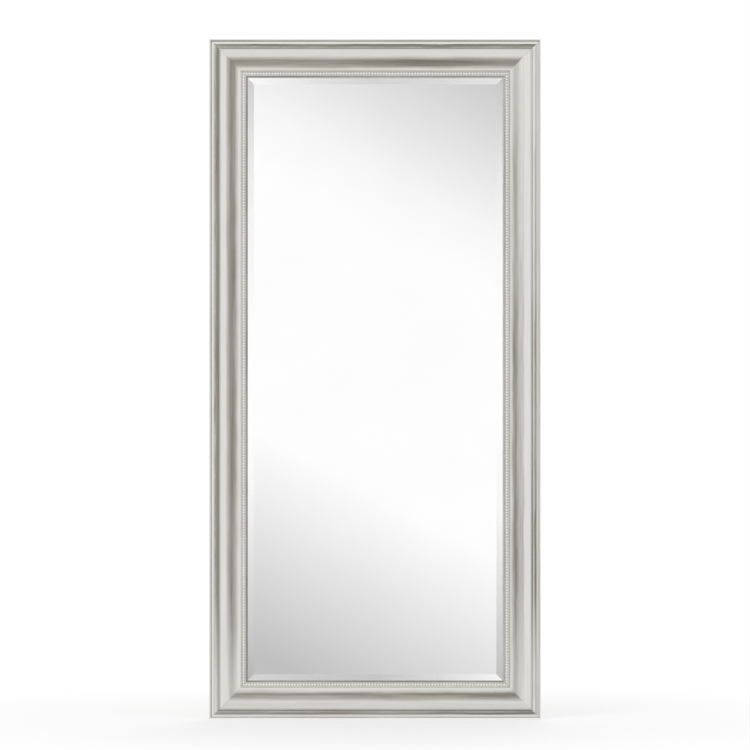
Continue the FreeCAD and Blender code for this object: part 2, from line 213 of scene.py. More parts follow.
def drift(name, *values):
    return shares(name, "Share at five places from the member's start to its end, anticlockwise "
                        "seen from the front", values, DRIFT_LIMIT)


# Strengths of the antique glaze with painted shade, and of painted highlight, for each side: partly
# the real glaze, partly painted light set to where it falls on each side and along each member.
class LeanerGlaze(bpy.types.PropertyGroup):
    left: bands("Left stile", 0.0, 0.68, 0.52, 0.48, 0.70, 0.76, 0.36)
    right: bands("Right stile", 1.0, 0.20, 0.0, 0.50, 0.15, 0.95, 0.85)
    top: bands("Top rail", 0.95, 1.0, 0.0, 0.40, 0.80, 0.86, 0.62)
    bottom: bands("Bottom rail", 0.95, 0.66, 0.0, 0.26, 0.54, 1.0, 0.40)
    left_touches: touches("Lines, left", 0.0, 0.75, 0.0, 0.45, 0.0, 0.0, 0.37, 1.0, 1.0)
    right_touches: touches("Lines, right", 0.0, 0.35, 0.25, 0.0, 0.0, 0.45, 0.80, 1.0, 1.0)
    top_touches: touches("Lines, top", 0.50, 0.60, 0.0, 0.14, 0.10, 0.45, 0.0, 1.0, 0.0)
    bottom_touches: touches("Lines, bottom", 0.0, 0.45, 0.08, 0.25, 0.16, 0.05, 1.0, 0.5, 0.2)
    left_drift: drift("Along the left stile", 1.0, 1.02, 1.05, 1.0, 0.15)
    right_drift: drift("Along the right stile", 0.40, 1.0, 0.90, 0.60, 0.35)
    top_drift: drift("Along the top rail", 1.02, 1.10, 1.0, 0.90, 0.85)
    bottom_drift: drift("Along the bottom rail", 0.85, 0.90, 1.0, 1.1, 1.2)
    left_burnish: drift("Burnish on the left stile", 0.0, 0.0, 0.0, 0.0, 0.4)
    right_burnish: drift("Burnish on the right stile", 0.9, 0.1, 0.45, 1.0, 1.0)
    top_burnish: drift("Burnish on the top rail", 1.0, 1.0, 1.0, 1.0, 1.0)
    bottom_burnish: drift("Burnish on the bottom rail", 1.0, 1.0, 1.0, 1.0, 1.0)
    # The last share of each slip is a painted shadow beside the glass.
    left_slip: slip_touches("Left slip", 0.25, 0.58, 0.68, 1.0)
    right_slip: slip_touches("Right slip", 0.60, 0.62, 0.05, 0.0)
    top_slip: slip_touches("Top slip", 0.25, 0.66, 0.66, 0.20)
    bottom_slip: slip_touches("Bottom slip", 0.10, 0.38, 0.86, 1.0)
    wander: length("Wander", 3.0 * MM, "How far the glaze's edges stray across the moulding")


class LeanerStage(bpy.types.PropertyGroup):
    photo_size: pixels("Photo size", 750.0, "Photo's side, px")
    photo_left: pixels("Photo left", 209.36, "Frame's left edge, px")
    photo_right: pixels("Photo right", 541.0, "Frame's right edge, px")
    photo_top: pixels("Photo top", 39.5, "Frame's top edge, px")
    photo_bottom: pixels("Photo bottom", 719.05, "Frame's bottom edge, px")
    camera_distance: length("Camera distance", 12.0)
    mirror_dome_radius: length("Mirror's surroundings", 2.6, "How far off what the mirror shows is")
    metal_dome_radius: length("Metal's surroundings", 5.0, "How far off what the leaf shows is")
    sheen_tilt: bpy.props.FloatProperty(
        name="Sheen tilt", description="Slope of the bright band in the mirror",
        default=math.radians(28), subtype="ANGLE", unit="ROTATION")


def settings(name):
    return getattr(bpy.context.scene, f"leaner_{name}")


# --- mesh helpers ---
ROUNDS_SHARE_OF_LEG = 0.98
DEGREES_PER_FACET = 5.0
FEWEST_FACETS = 2
ARC = 0.5  # the bevel profile of a true arc
SHARP_ANGLE = math.radians(34)
CUT_TOLERANCE = 1e-7
ONE_WAY = 0.9  # a face looks along an axis when its normal's share of it is past this
UV_NAME = "section"


def corner_reaches(corners):
    """How far each corner's round reaches along its two legs, made smaller where two would meet."""
    points = [Vector((u, v)) for u, v, radius in corners]
    count = len(points)
    turns, reaches, fits = [], [], [1.0] * count
    for i, (u, v, radius) in enumerate(corners):
        back, onward = points[i - 1] - points[i], points[(i + 1) % count] - points[i]
        turns.append(math.pi - back.angle(onward))
        reaches.append(radius * math.tan(turns[i] / 2))
    for i in range(count):
        following = (i + 1) % count
        room = ROUNDS_SHARE_OF_LEG * (points[following] - points[i]).length
        wanted = reaches[i] + reaches[following]
        if wanted > room:
            fits[i] = min(fits[i], room / wanted)
            fits[following] = min(fits[following], room / wanted)
    return [(turn, reach * fit) for turn, reach, fit in zip(turns, reaches, fits)]


def sliced(bm, place, normal):
    """Cuts off what lies beyond a plane and gives back the edges round the cut."""
    cut = bmesh.ops.bisect_plane(bm, geom=bm.verts[:] + bm.edges[:] + bm.faces[:],
                                 dist=CUT_TOLERANCE, plane_co=place, plane_no=normal,
                                 clear_outer=True)
    return [g for g in cut["geom_cut"] if isinstance(g, bmesh.types.BMEdge)]


def mitred_run(corners, run):
    """A closed run of the section along x, cut at 45 degrees at both ends."""
    bm = bmesh.new()
    verts = [bm.verts.new((0, u, v)) for u, v, radius in corners]
    bm.faces.new(verts)
    for vert, (turn, offset) in zip(verts, corner_reaches(corners)):
        if offset > 0:
            facets = max(FEWEST_FACETS, round(math.degrees(turn) / DEGREES_PER_FACET))
            bmesh.ops.bevel(bm, geom=[vert], offset=offset, offset_type="OFFSET",
                            segments=facets, profile=ARC, affect="VERTICES", material=-1)
    made = bmesh.ops.extrude_face_region(bm, geom=bm.faces[:])
    moved = [g for g in made["geom"] if isinstance(g, bmesh.types.BMVert)]
    bmesh.ops.translate(bm, verts=moved, vec=(run, 0, 0))
    for place, normal in (((0, 0, 0), (-1, 1, 0)), ((run, 0, 0), (1, 1, 0))):
        bmesh.ops.contextual_create(bm, geom=sliced(bm, place, normal))
    bmesh.ops.recalc_face_normals(bm, faces=bm.faces[:])
    return bm


def smooth_where_soft(bm):
    for face in bm.faces:
        face.smooth = True
    for edge in bm.edges:
        edge.smooth = edge.calc_face_angle(math.pi) < SHARP_ANGLE


def member_uv(bm, run, height=False):
    """A UV map in metres: across the section, or height above its back, and along from mid-length.

    The outer wall folds down from its edge, so its places across are below zero."""
    layer = bm.loops.layers.uv.new(UV_NAME)
    for face in bm.faces:
        outer_wall = face.normal.y < -ONE_WAY and not height
        top = max(vert.co.z for vert in face.verts)
        for loop in face.loops:
            co = loop.vert.co
            across = co.z if height else co.y + (co.z - top if outer_wall else 0)
            loop[layer].uv = (across, co.x - run / 2)


def linked_object(name, bm, *materials):
    """The mesh as an object in the scene."""
    mesh = bpy.data.meshes.new(name)
    bm.to_mesh(mesh)
    bm.free()
    for finish in materials:
        mesh.materials.append(finish)
    made = bpy.data.objects.new(name, mesh)
    bpy.context.scene.collection.objects.link(made)
    return made


def finished_object(node, bm, matrix, *materials):
    """The mesh set in place, riding on the frame and standing for its CAD node."""
    smooth_where_soft(bm)
    bm.transform(matrix)
    piece = linked_object(f"{node}_silver", bm, *materials)
    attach(piece, "frame")
    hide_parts(node)


def dress(node, finish):
    """Gives a CAD node one material."""
    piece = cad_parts[node]
    piece.data.materials.clear()
    piece.data.materials.append(finish)


# --- node helpers ---
FLOAT, COLOUR, VECTOR = "NodeSocketFloat", "NodeSocketColor", "NodeSocketVector"
WHITE = (1.0, 1.0, 1.0, 1.0)
MIDDLE = (0.0, 0.0, 0.0)


def feed(tree, target, value):
    """Links another node's output to an input, or sets a plain value on it."""
    if isinstance(value, bpy.types.NodeSocket):
        tree.links.new(value, target)
    else:
        target.default_value = value


def fill(tree, node, values):
    for socket, value in values.items():
        feed(tree, node.inputs[socket], value)


def add(tree, kind, values, **options):
    """A node with its input values and options."""
    node = tree.nodes.new(kind)
    for name, value in options.items():
        setattr(node, name, value)
    fill(tree, node, values)
    return node


def maths(tree, operation, first, second=0.0, third=0.0, clamp=False):
    values = {0: first, 1: second, 2: third}
    return add(tree, "ShaderNodeMath", values, operation=operation, use_clamp=clamp).outputs[0]


def maths_helper(operation):
    """A function that makes one kind of Math node and gives back what comes out of it."""
    def helper(tree, first, second=0.0, clamp=False):
        return maths(tree, operation, first, second, clamp=clamp)
    return helper


plus, minus, times, over = map(maths_helper, ("ADD", "SUBTRACT", "MULTIPLY", "DIVIDE"))
larger, smaller, below = map(maths_helper, ("MAXIMUM", "MINIMUM", "LESS_THAN"))
absolute = maths_helper("ABSOLUTE")


def between(tree, value, low, high, clamp=False):
    """A value of 0 to 1 spread from low to high."""
    return maths(tree, "MULTIPLY_ADD", value, high - low, low, clamp)


def blended(tree, factor, first, second, mode="MIX"):
    node = add(tree, "ShaderNodeMix", {}, data_type="RGBA", blend_type=mode)
    inputs = {socket.identifier: socket for socket in node.inputs}
    outputs = {socket.identifier: socket for socket in node.outputs}
    feed(tree, inputs["Factor_Float"], factor)
    feed(tree, inputs["A_Color"], first)
    feed(tree, inputs["B_Color"], second)
    return outputs["Result_Color"]


def tinted(tree, first, tint):
    return blended(tree, 1.0, first, tint, "MULTIPLY")


def noise(tree, vector, scale, detail, roughness):
    values = {"Vector": vector, "Scale": scale, "Detail": detail, "Roughness": roughness}
    return add(tree, "ShaderNodeTexNoise", values).outputs["Fac"]


def stretched(tree, vector, scale, location=MIDDLE):
    values = {"Vector": vector, "Scale": scale, "Location": location}
    return add(tree, "ShaderNodeMapping", values).outputs["Vector"]


def grain(tree, place, drawn, scale, detail, roughness, location=MIDDLE):
    """Noise drawn out along a member; drawn is its scale along as a share of its scale across."""
    return noise(tree, stretched(tree, place, (1.0, drawn, 1.0), location), scale, detail,
                 roughness)


def ramp(tree, factor, stops, interpolation="LINEAR"):
    """A ramp from (place, grey or colour) stops."""
    node = add(tree, "ShaderNodeValToRGB", {"Fac": factor})
    band = node.color_ramp
    band.interpolation = interpolation
    while len(band.elements) < len(stops):
        band.elements.new(1.0)
    for element, (place, value) in zip(band.elements, stops):
        element.position = place
        element.color = rgba((value,) * 3 if isinstance(value, float) else value)
    return node.outputs["Color"]


def rgba(values):
    return (*values, 1.0)


def axes_of(tree, place):
    return add(tree, "ShaderNodeSeparateXYZ", {0: place}).outputs


def object_place(tree):
    return tree.nodes.new("ShaderNodeTexCoord").outputs["Object"]


def section_place(tree):
    return add(tree, "ShaderNodeUVMap", {}, uv_map=UV_NAME).outputs[0]


def bump(tree, height, strength, distance):
    values = {"Height": height, "Strength": strength, "Distance": distance}
    return add(tree, "ShaderNodeBump", values).outputs["Normal"]


def group(name, inputs, outputs):
    """A new shader group, what it is given and what it gives back, from its sockets' kinds."""
    tree = bpy.data.node_groups.new(name, "ShaderNodeTree")
    for way, sockets in (("INPUT", inputs), ("OUTPUT", outputs)):
        for label, kind in sockets.items():
            tree.interface.new_socket(label, in_out=way, socket_type=kind)
    given, result = tree.nodes.new("NodeGroupInput"), tree.nodes.new("NodeGroupOutput")
    return tree, given.outputs, result.inputs


def material(name):
    """A new material with its tree and its own shader."""
    made = bpy.data.materials.new(name)
    made.use_nodes = True
    return made, made.node_tree, made.node_tree.nodes["Principled BSDF"]


# --- silver ---
# Each silvered member shows its own part of the noise: where the first is, and the step between.
MOULDING_SHIFT, MOULDING_STEP = 0, 3.7
SLIP_SHIFT, SLIP_STEP = 20, 2.9
PEARL_SHIFT, PEARL_STEP = 40, 1.7
WANDER_SHIFTS = {"bottom": 103.0, "right": 119.0, "top": 121.0, "left": 113.0}
JOINT_GLAZE = 0.75  # how much of the dark glaze the mitre's hairline shows
BRUSH_RELIEF, JOINT_RELIEF = 0.5, -2.0


def off_centre(tree, place, half_height):
    """How far a place on the mirror is from the middle line and from mid-height."""
    axes = axes_of(tree, place)
    return absolute(tree, axes["X"]), absolute(tree, minus(tree, axes["Z"], half_height))


def mitre_joint_group():
    """A hairline down the diagonal where two members meet, from a place on the mirror."""
    name = "mitre_joint"
    if name in bpy.data.node_groups:
        return bpy.data.node_groups[name]
    tree, given, result = group(
        name, {"Place": VECTOR, "Half width": FLOAT, "Half height": FLOAT, "Hairline": FLOAT},
        {"Mask": FLOAT})
    aside, level = off_centre(tree, given["Place"], given["Half height"])
    from_side = minus(tree, given["Half width"], aside)
    from_end = minus(tree, given["Half height"], level)
    away = over(tree, absolute(tree, minus(tree, from_side, from_end)), given["Hairline"])
    tree.links.new(minus(tree, 1.0, away, clamp=True), result["Mask"])
    return tree


def mitre_joint(tree):
    values = {"Place": object_place(tree), "Half width": HALF, "Half height": FRAME_HEIGHT / 2,
              "Hairline": settings("finish").hairline}
    return add(tree, "ShaderNodeGroup", values, node_tree=mitre_joint_group()).outputs["Mask"]


def rubbed_silver_group():
    """Silver leaf rubbed along its length, with dark glaze and painted shade where the glaze mask
    says and painted highlight where the highlight share says.
    """
    name = "rubbed_silver"
    if name in bpy.data.node_groups:
        return bpy.data.node_groups[name]
    tree, given, result = group(
        name, {"Section": VECTOR, "Glaze mask": FLOAT, "Joint": FLOAT, "Shift": FLOAT,
               "Burnish": FLOAT, "Leaf": COLOUR, "Burnished": COLOUR, "Glaze": COLOUR,
               "Warm": COLOUR, "Cool": COLOUR},
        {"Colour": COLOUR, "Roughness": FLOAT, "Height": FLOAT})
    shift = add(tree, "ShaderNodeCombineXYZ", {"Z": given["Shift"]}).outputs[0]
    place = add(tree, "ShaderNodeVectorMath", {0: given["Section"], 1: shift}).outputs[0]
    brush = grain(tree, place, 0.006, scale=800.0, detail=5.0, roughness=0.62)
    strokes = grain(tree, place, 0.03, scale=170.0, detail=4.0, roughness=0.6)
    patches = grain(tree, place, 0.09, scale=34.0, detail=3.0, roughness=0.5)
    tints = grain(tree, place, 0.07, scale=46.0, detail=2.0, roughness=0.5,
                  location=(3.1, 1.7, 0.4))
    mask = times(tree, given["Glaze mask"], between(tree, patches, 0.60, 1.40))
    mask = times(tree, mask, between(tree, strokes, 0.55, 1.45))
    fine = between(tree, brush, -0.13, 0.17)
    film = between(tree, strokes, -0.08, 0.12)
    amount = plus(tree, plus(tree, mask, fine), film, clamp=True)
    dark = larger(tree, amount, times(tree, given["Joint"], JOINT_GLAZE))
    warmth = between(tree, tints, -1.15, 1.25, clamp=True)
    coolness = between(tree, tints, 1.0, -1.4, clamp=True)
    tint = blended(tree, warmth, WHITE, given["Warm"])
    tint = blended(tree, coolness, tint, given["Cool"])
    rubbed_and_lit = blended(tree, given["Burnish"], given["Leaf"], given["Burnished"])
    glazed_and_shaded = blended(tree, dark, rubbed_and_lit, given["Glaze"])
    roughness = plus(tree, between(tree, dark, 0.34, 0.50), between(tree, brush, -0.08, 0.08))
    height = plus(tree, times(tree, brush, BRUSH_RELIEF),
                  times(tree, given["Joint"], JOINT_RELIEF))
    tree.links.new(tinted(tree, glazed_and_shaded, tint), result["Colour"])
    tree.links.new(roughness, result["Roughness"])
    tree.links.new(height, result["Height"])
    return tree


def silver_material(node, mask_of, shift, leaf):
    """The rubbed silver on one member; mask_of makes its mask of glaze and painted shade and its
    mask of painted highlight.
    """
    finish = settings("finish")
    made, tree, shader = material(f"silver_leaf_{node}")
    place = section_place(tree)
    glazed_and_shaded, burnished = mask_of(tree, place)
    values = {"Section": place, "Glaze mask": glazed_and_shaded, "Joint": mitre_joint(tree),
              "Shift": shift, "Burnish": burnished, "Leaf": rgba(leaf),
              "Burnished": rgba(finish.burnished), "Glaze": rgba(finish.glaze),
              "Warm": rgba(finish.warm_tint), "Cool": rgba(finish.cool_tint)}
    silver = add(tree, "ShaderNodeGroup", values, node_tree=rubbed_silver_group()).outputs
    fill(tree, shader, {
        "Base Color": silver["Colour"], "Roughness": silver["Roughness"],
        "Metallic": finish.metal_share,
        "Normal": bump(tree, silver["Height"], strength=0.35, distance=0.12 * MM)})
    return made


def near(place, *steps):
    """Ramp stops at a few (millimetres away, value) from a place in the section."""
    return [(place + away * MM, value) for away, value in steps]


def across_ramp(tree, across, width, *stops):
    """A ramp over the section's width whose stops are in metres from the outer edge."""
    return ramp(tree, over(tree, across, width), [(place / width, value) for place, value in stops])


def along_ramp(tree, along, values):
    """A smooth ramp over the shares of glaze and painted shade, or of painted highlight, spread
    along a member.
    """
    stops = list(zip(DRIFT_PLACES, (value / DRIFT_LIMIT for value in values)))
    return times(tree, ramp(tree, along, stops, "EASE"), DRIFT_LIMIT)


def moulding_mask(side):
    """The masks of one side: glaze and painted shade in thin lines and wandering bands, and painted
    highlight on the rim and the slopes.
    """
    def mask(tree, place):
        s, glaze = settings("moulding"), settings("glaze")
        lip, floor, wall, shoulder, slope, foot, toe = getattr(glaze, side)
        (rim, in_groove, fillet, brow, on_crown, edge,
         bright_rim, bright_wall, bright_slope) = getattr(glaze, side + "_touches")
        groove = s.groove_from_edge
        groove_end = groove + s.groove_width
        cove = groove_end + s.band_width + s.cove_lead_in
        crown, crown_end = s.crown_outer_from_edge, s.crown_inner_from_edge
        hollow = s.hollow_from_edge
        axes = axes_of(tree, place)
        across = axes["X"]
        along = maths(tree, "MULTIPLY_ADD", axes["Y"], 1 / SIDES[side][0], 0.5)
        drifted = stretched(tree, place, (0.25, 1.0, 1.0), (0.0, 0.0, WANDER_SHIFTS[side]))
        sway = noise(tree, drifted, scale=9.0, detail=4.0, roughness=0.6)
        strayed = plus(tree, across, between(tree, sway, -glaze.wander, glaze.wander))
        lines = across_ramp(
            tree, across, MOULDING_WIDTH, (0.0, rim),
            *near(groove, (-0.8, rim), (0.0, in_groove)),
            *near(groove_end, (0.0, in_groove), (0.6, fillet)),
            *near(cove, (-0.9, fillet), (1.0, 0.0)),
            *near(crown, (-2.0, 0.0), (-0.2, brow), (2.2, 0.8 * brow), (4.4, on_crown),
                  (15, on_crown), (19, 0.0)),
            # painted shade along the sight edge, in the crease where the moulding meets the slip
            *near(MOULDING_WIDTH, (-4.0, 0.0), (-2.0, edge), (0.0, max(0.30, edge))))
        glaze_and_shade_bands = across_ramp(
            tree, strayed, MOULDING_WIDTH,
            *near(cove, (-1.4, 0.0), (0.6, lip), (2.4, max(0.85 * lip, floor)), (4.6, floor)),
            *near(crown, (-3.4, wall), (0.6, 0.45 * wall), (5, 0.0)),
            *near(crown_end, (-6, 0.0), (-0.6, shoulder)),
            *near(hollow, (-8, slope), (0.5, foot), (5.5, toe), (10, 0.3 * toe), (14, 0.0)))
        # painted highlight on the cove's wall and on the slope
        slopes = across_ramp(
            tree, across, MOULDING_WIDTH,
            *near(cove, (-0.9, 0.0), (1.2, 0.3 * bright_wall), (4.7, bright_wall)),
            *near(crown, (-3, bright_wall), (1, 0.0)),
            *near(crown_end, (-4, 0.0), (0.4, 0.5 * bright_slope), (6.4, bright_slope)),
            *near(hollow, (-4.5, 0.4 * bright_slope), (0.5, 0.0)))
        # painted highlight on the rim
        rim_highlight = across_ramp(tree, across, MOULDING_WIDTH,
                           *near(groove, (-1, bright_rim)), (groove_end, 0.0))
        shine = times(tree, slopes, along_ramp(tree, along, getattr(glaze, side + "_burnish")),
                      clamp=True)
        faded = times(tree, glaze_and_shade_bands, along_ramp(tree, along, getattr(glaze, side + "_drift")))
        return larger(tree, lines, faded), larger(tree, shine, rim_highlight)
    return mask


def channel():
    """Where the slip's channel starts and ends across the section."""
    s, pearls = settings("slip"), settings("pearls")
    start = MOULDING_WIDTH + s.gap + s.channel_wall
    return start, start + 2 * (pearls.radius + pearls.side_gap)


def channel_floor():
    s = settings("slip")
    return settings("moulding").sight_height - s.set_back - s.channel_depth


def slip_mask(side):
    """Glaze and painted shade along the joint with the moulding, in the pearls' channel and down to
    the glass, ending in a painted shadow beside it.
    """
    def mask(tree, place):
        s = settings("slip")
        ridge, under, nose, shadow_beside_glass = getattr(settings("glaze"), side + "_slip")
        start, end = channel()
        return across_ramp(
            tree, axes_of(tree, place)["X"], SIGHT_EDGE, (0.0, 0.6),
            *near(MOULDING_WIDTH + s.gap, (0.2, 0.3), (0.8, 0.0)),
            *near(start, (-0.1, 0.0), (0.2, 0.45)),
            *near(end, (-0.2, 0.45), (0.2, 0.10)),
            *near(end + s.ridge_width, (-0.3, ridge), (0.6, under)),
            *near(SIGHT_EDGE, (-1.8, nose), (0.0, shadow_beside_glass))), 0.0
    return mask


def pearl_mask(tree, place):
    """Glaze and painted shade round the foot of each pearl, where it meets the channel; the map's X
    is the height above the moulding's back.
    """
    above = minus(tree, axes_of(tree, place)["X"], channel_floor())
    up = over(tree, above, settings("pearls").radius)
    return ramp(tree, up, [(0.0, 0.75), (0.25, 0.45), (0.50, 0.0), (1.0, 0.0)]), 0.0


# --- other finishes ---
DARK_GRAIN = 0.70  # the wood's dark grain as a share of its colour
DARK_CLOUD = 0.985  # the silvering's darkest clouds as a share of its colour
RING_SWAY = 0.12  # metres
JOINT_SHADE = 0.7
BROAD_SHARE = 0.06  # the scale of a finish's broad patches as a share of its flecks'


def ring_sway(tree, place):
    """A slow sideways sway that bends the wood's rings."""
    sway = grain(tree, place, 1.0, scale=1.6, detail=2.0, roughness=0.5, location=(4.4, 0.0, 0.0))
    return add(tree, "ShaderNodeCombineXYZ", {"X": times(tree, sway, RING_SWAY)}).outputs[0]


def bare_wood_material():
    """Unpainted poplar on the back, with its grain along each member."""
    finish = settings("finish")
    made, tree, shader = material("bare_wood")
    place = section_place(tree)
    pores = grain(tree, place, 0.018, scale=900.0, detail=6.0, roughness=0.65)
    bent = add(tree, "ShaderNodeVectorMath", {0: stretched(tree, place, (1.0, 0.05, 1.0)),
                                              1: ring_sway(tree, place)}).outputs[0]
    rings = add(tree, "ShaderNodeTexWave", {"Vector": bent, "Scale": 30.0, "Distortion": 1.6,
                                            "Detail": 2.0, "Detail Scale": 1.5},
                wave_type="BANDS", bands_direction="X").outputs["Fac"]
    base = blended(tree, between(tree, pores, -0.35, 1.15, clamp=True),
                   rgba(DARK_GRAIN * c for c in finish.raw_wood), rgba(finish.raw_wood))
    tone = ramp(tree, rings, [(0.0, (0.84, 0.82, 0.79)), (0.6, (1.0, 1.0, 1.0))])
    joint = mitre_joint(tree)
    grained = blended(tree, times(tree, joint, JOINT_SHADE), tinted(tree, base, tone),
                      rgba(finish.wood_joint))
    fill(tree, shader, {
        "Base Color": grained, "Roughness": between(tree, pores, 0.66, 0.86),
        "Normal": bump(tree, minus(tree, pores, joint), strength=0.4, distance=0.2 * MM)})
    return made


def speckled_material(name, base, fleck, scale, roughness, upright=1.0):
    """A matt finish with fine flecks, on the piece's own place in the mirror.

    upright is the flecks' scale along the height as a share of their scale across."""
    made, tree, shader = material(name)
    place = object_place(tree)
    stretch = (1.0, 1.0, upright)
    fine = noise(tree, stretched(tree, place, stretch), scale, detail=6.0, roughness=0.65)
    broad = noise(tree, stretched(tree, place, stretch, (1.3, 0.7, 2.1)), scale * BROAD_SHARE,
                  detail=3.0, roughness=0.5)
    flecks = blended(tree, between(tree, fine, -0.6, 1.4, clamp=True), rgba(base), rgba(fleck))
    tone = ramp(tree, broad, [(0.3, 0.88), (0.7, 1.0)])
    fill(tree, shader, {
        "Base Color": tinted(tree, flecks, tone),
        "Roughness": between(tree, fine, roughness - 0.1, roughness + 0.1),
        "Normal": bump(tree, fine, strength=0.5, distance=0.1 * MM)})
    return made


def rubber_material():
    """The one black rubber, made the first time it is asked for."""
    finish, name = settings("finish"), "black_rubber"
    return bpy.data.materials.get(name) or speckled_material(
        name, finish.rubber, finish.rubber_fleck, scale=1400.0, roughness=0.62)


def zinc_material():
    """The plain zinc that comes with the CAD pieces, also worn by the corner nails."""
    return bpy.data.materials["zinc_plate"]


def glass_material(bevel_line):
    """Clear glass, with painted shade in the bevel's reflection that fades along its runs."""
    finish = settings("finish")
    made, tree, shader = material("clear_glass")
    place = object_place(tree)
    aside, level = off_centre(tree, place, FRAME_HEIGHT / 2)
    from_side, from_end = minus(tree, HALF, aside), minus(tree, FRAME_HEIGHT / 2, level)
    # How much painted shade each bevel's reflection gets: towards the ends on the stiles, towards
    # the middle on the rails.
    beside = ramp(tree, over(tree, level, FRAME_HEIGHT / 2),
                  [(0.15, 0.0), (0.60, 0.25), (0.9, 0.5)])
    at_end = ramp(tree, over(tree, aside, HALF), [(0.0, 0.85), (0.35, 0.60), (0.75, 0.10)])
    run = blended(tree, below(tree, from_side, from_end), at_end, beside)
    bevelled = below(tree, smaller(tree, from_side, from_end), bevel_line)
    smears = noise(tree, stretched(tree, place, (1.0, 1.0, 0.6)), scale=9.0, detail=4.0,
                   roughness=0.6)
    clean = ramp(tree, smears, [(0.0, tuple(finish.glass)), (1.0, (1.0, 1.0, 1.0))])
    tint = blended(tree, times(tree, bevelled, run), clean, rgba(finish.bevel))
    fill(tree, shader, {"Base Color": tint,
                        "Roughness": 0.0, "IOR": 1.5, "Transmission Weight": 1.0})
    return made


def silvering_material():
    silver = settings("finish").silver
    made, tree, shader = material("silvering")
    cloud = noise(tree, object_place(tree), scale=5.0, detail=3.0, roughness=0.5)
    tint = ramp(tree, cloud, [(0.3, tuple(DARK_CLOUD * c for c in silver)), (0.7, tuple(silver))])
    fill(tree, shader, {"Base Color": tint, "Metallic": 1.0, "Roughness": 0.0})
    return made


# --- moulding ---
BARE_BELOW = MOULDING_WIDTH / 6  # the back and the rebate's wall are bare wood up to this height
ON_WALL = 1e-6


def moulding_corners():
    s = settings("moulding")
    groove_end = s.groove_from_edge + s.groove_width
    band_end = groove_end + s.band_width
    cove_start = band_end + s.cove_lead_in
    cove_floor = s.band_height - s.cove_drop
    lip_underside = s.sight_height - s.lip_thickness
    rebate_wall = MOULDING_WIDTH - s.lip_reach
    return [
        (0, 0, 0), (0, s.edge_height, s.edge_round),
        (s.groove_from_edge, s.edge_height, 0),
        (s.groove_from_edge + s.groove_width / 2, s.edge_height - s.groove_depth, 0),
        (groove_end, s.band_height, 0), (band_end, s.band_height, s.band_round),
        (cove_start, cove_floor, s.band_round),
        (cove_start + s.cove_floor_width, cove_floor + s.cove_floor_rise, s.cove_round),
        (s.crown_outer_from_edge, s.crown_outer_height, s.crown_outer_round),
        (s.crown_inner_from_edge, s.crown_inner_height, s.crown_inner_round),
        (s.hollow_from_edge, s.hollow_height, s.hollow_round),
        (MOULDING_WIDTH, s.sight_height, s.sight_round),
        (MOULDING_WIDTH, lip_underside, 0), (rebate_wall, lip_underside, 0), (rebate_wall, 0, 0),
    ]


class LEANER_OT_moulding(bpy.types.Operator):
    """Run the wide silver moulding round all four sides, mitred at the corners"""
    bl_idname = "leaner.moulding"
    bl_label = "Moulding"

    def execute(self, context):
        leaf, wood = settings("finish").leaf, bare_wood_material()
        rebate_wall = MOULDING_WIDTH - settings("moulding").lip_reach
        for i, (side, (run, matrix)) in enumerate(SIDES.items()):
            node = side + ("_rail" if side in RAILS else "_stile")
            bm = mitred_run(moulding_corners(), run)
            member_uv(bm, run)
            for face in bm.faces:
                middle = face.calc_center_median()
                back = face.normal.z < -ONE_WAY
                rebate = middle.y > rebate_wall - ON_WALL and face.normal.y > ONE_WAY
                face.material_index = int((back or rebate) and middle.z < BARE_BELOW)
            shift = MOULDING_SHIFT + MOULDING_STEP * i
            silver = silver_material(node, moulding_mask(side), shift, leaf)
            finished_object(node, bm, matrix, silver, wood)
        return {"FINISHED"}


# --- slip and pearls ---
ON_SIGHT_EDGE = 1e-5
PEARL_SUBDIVISIONS = 2
NECK_SEGMENTS = 10


def slip_underside():
    """Height of the slip's underside: the lowest of its CAD corners on the sight edge."""
    return min(BACK_Y - v.co.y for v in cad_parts["left_slip"].data.vertices
               if abs(v.co.x - SLIP_HIGH.x) < ON_SIGHT_EDGE)


def slip_corners():
    s, moulding = settings("slip"), settings("moulding")
    visible = MOULDING_WIDTH + s.gap
    flange = moulding.sight_height - moulding.lip_thickness - s.gap
    front = moulding.sight_height - s.set_back
    ridge = front - s.ridge_set_back
    start, end = channel()
    floor = channel_floor()
    underside = slip_underside()
    return [
        (SLIP_START, SLIP_BACK, 0), (SLIP_START, flange, 0), (visible, flange, 0),
        (visible, front, s.corner_round), (start, front, s.corner_round),
        (start, floor, 0), (end, floor, 0),
        (end, ridge, s.corner_round), (end + s.ridge_width, ridge, s.corner_round),
        (SIGHT_EDGE, underside + s.nose_height, s.corner_round), (SIGHT_EDGE, underside, 0),
        (SIGHT_EDGE - s.lip_reach, underside, 0), (SIGHT_EDGE - s.lip_reach, SLIP_BACK, 0),
    ]


class LEANER_OT_slips(bpy.types.Operator):
    """Fit the beaded inner slips in the moulding's rebate"""
    bl_idname = "leaner.slips"
    bl_label = "Slips"

    def execute(self, context):
        leaf = settings("finish").slip_leaf
        for i, (side, (run, matrix)) in enumerate(SIDES.items()):
            node = f"{side}_slip"
            bm = mitred_run(slip_corners(), run)
            member_uv(bm, run)
            silver = silver_material(node, slip_mask(side), SLIP_SHIFT + SLIP_STEP * i, leaf)
            finished_object(node, bm, matrix, silver)
        return {"FINISHED"}


